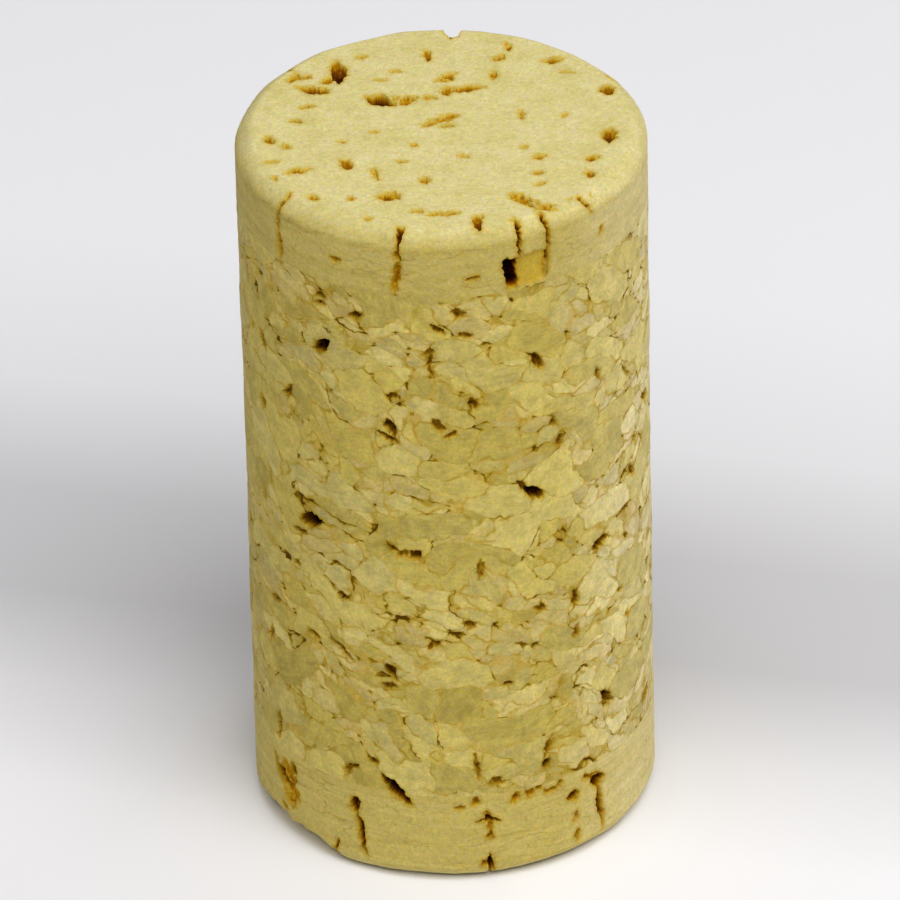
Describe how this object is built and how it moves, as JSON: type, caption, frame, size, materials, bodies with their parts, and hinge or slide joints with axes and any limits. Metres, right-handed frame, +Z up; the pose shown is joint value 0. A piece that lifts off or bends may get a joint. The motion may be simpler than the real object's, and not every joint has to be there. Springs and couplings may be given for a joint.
{
  "type": "wine cork",
  "caption": "Cylindrical bottle stopper: a body of bonded cork granules with a disc of natural cork glued on each end, pored and slightly cracked.",
  "frame": {"origin": "centre of the lower face", "axes": "+Z up the cork's axis, -Y towards the viewer of the picture"},
  "size_m": [0.0234, 0.0234, 0.044],
  "materials": {
    "natural_cork": "matte natural cork with brown pores",
    "granule_cork": "matte bonded cork granules with darker seams"
  },
  "bodies": {
    "root": {"top_disc": "natural_cork", "granule_body": "granule_cork", "bottom_disc": "natural_cork"}
  },
  "joints": []
}
